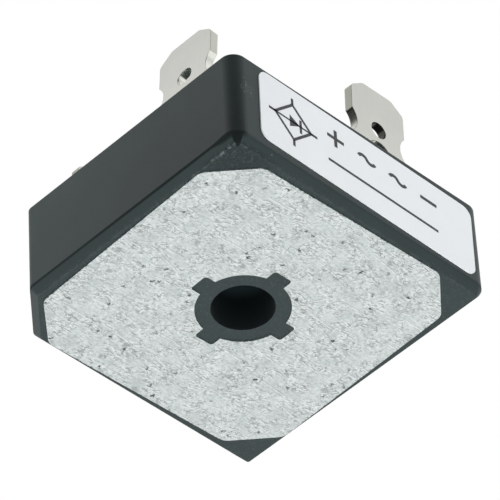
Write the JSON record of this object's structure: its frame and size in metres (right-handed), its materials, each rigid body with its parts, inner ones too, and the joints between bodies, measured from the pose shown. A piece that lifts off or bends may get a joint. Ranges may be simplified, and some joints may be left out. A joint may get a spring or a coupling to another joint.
{
  "type": "bridge rectifier",
  "caption": "Square black encapsulated bridge rectifier with a metal base, a central screw hole and upright push-on blade terminals.",
  "frame": {"origin": "centre of the screw hole on the base plate's outer face", "axes": "+Z out of the base towards the terminal tips, +X along the labelled side, -Y out of the labelled side; the cut corner is at -X, +Y"},
  "size_m": [0.0288, 0.0289, 0.0202],
  "materials": {
    "case_plastic": "satin moulded black-grey thermoset",
    "plate_metal": "bare sheet, dull and finely scratched",
    "ceramic": "matt white alumina",
    "resin": "cast black resin",
    "label_film": "white film, satin",
    "terminal_metal": "tin-plated copper alloy, satin",
    "copper": "bare copper sheet",
    "silicon": "sawn silicon",
    "solder": "reflowed solder"
  },
  "bodies": {
    "root": {"case": "case_plastic", "base_plate": "plate_metal", "ceramic_sheet": "ceramic", "resin": "resin", "label": "label_film", "terminal_positive": "terminal_metal", "pad_positive": "copper", "strip_positive": "copper", "chip_positive": "silicon", "chip_under_solder_positive": "solder", "chip_over_solder_positive": "solder", "strip_solder_positive": "solder", "foot_solder_positive": "solder", "terminal_ac_left": "terminal_metal", "pad_ac_left": "copper", "strip_ac_left": "copper", "chip_ac_left": "silicon", "chip_under_solder_ac_left": "solder", "chip_over_solder_ac_left": "solder", "strip_solder_ac_left": "solder", "foot_solder_ac_left": "solder", "terminal_negative": "terminal_metal", "pad_negative": "copper", "strip_negative": "copper", "chip_negative": "silicon", "chip_under_solder_negative": "solder", "chip_over_solder_negative": "solder", "strip_solder_negative": "solder", "foot_solder_negative": "solder", "terminal_ac_right": "terminal_metal", "pad_ac_right": "copper", "strip_ac_right": "copper", "chip_ac_right": "silicon", "chip_under_solder_ac_right": "solder", "chip_over_solder_ac_right": "solder", "strip_solder_ac_right": "solder", "foot_solder_ac_right": "solder"}
  },
  "joints": []
}
